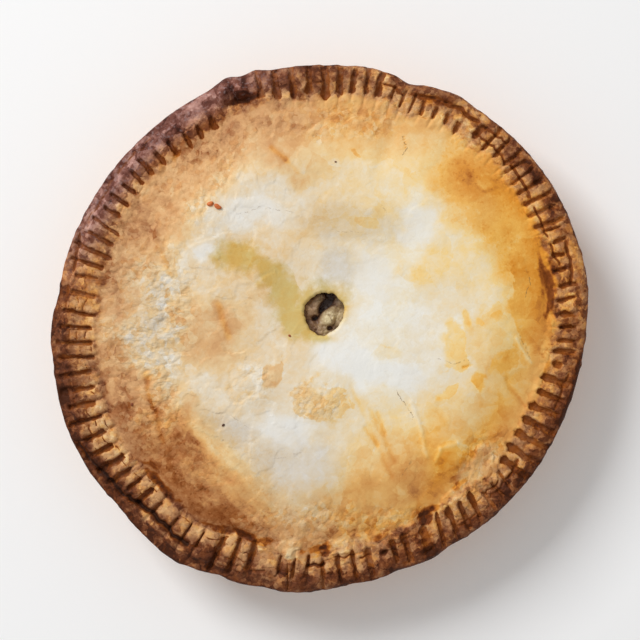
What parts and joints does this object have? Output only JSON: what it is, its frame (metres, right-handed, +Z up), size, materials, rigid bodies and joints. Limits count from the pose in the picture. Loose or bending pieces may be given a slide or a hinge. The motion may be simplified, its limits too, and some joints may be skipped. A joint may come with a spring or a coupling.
{
  "type": "meat pie",
  "caption": "Whole round two-crust meat pie with a fork-crimped rim, a browned pastry lid and a round steam vent that shows the ground meat filling.",
  "frame": {"origin": "on the table under the middle of the pie's bounding box", "axes": "+Z up out of the lid, +X to the right and +Y to the top of the picture, which looks straight down"},
  "size_m": [0.2373, 0.2332, 0.0434],
  "materials": {
    "baked_pastry": "dry, flaky baked pastry",
    "cooked_meat": "moist ground meat"
  },
  "bodies": {
    "root": {"crust": "baked_pastry", "filling": "cooked_meat"}
  },
  "joints": []
}
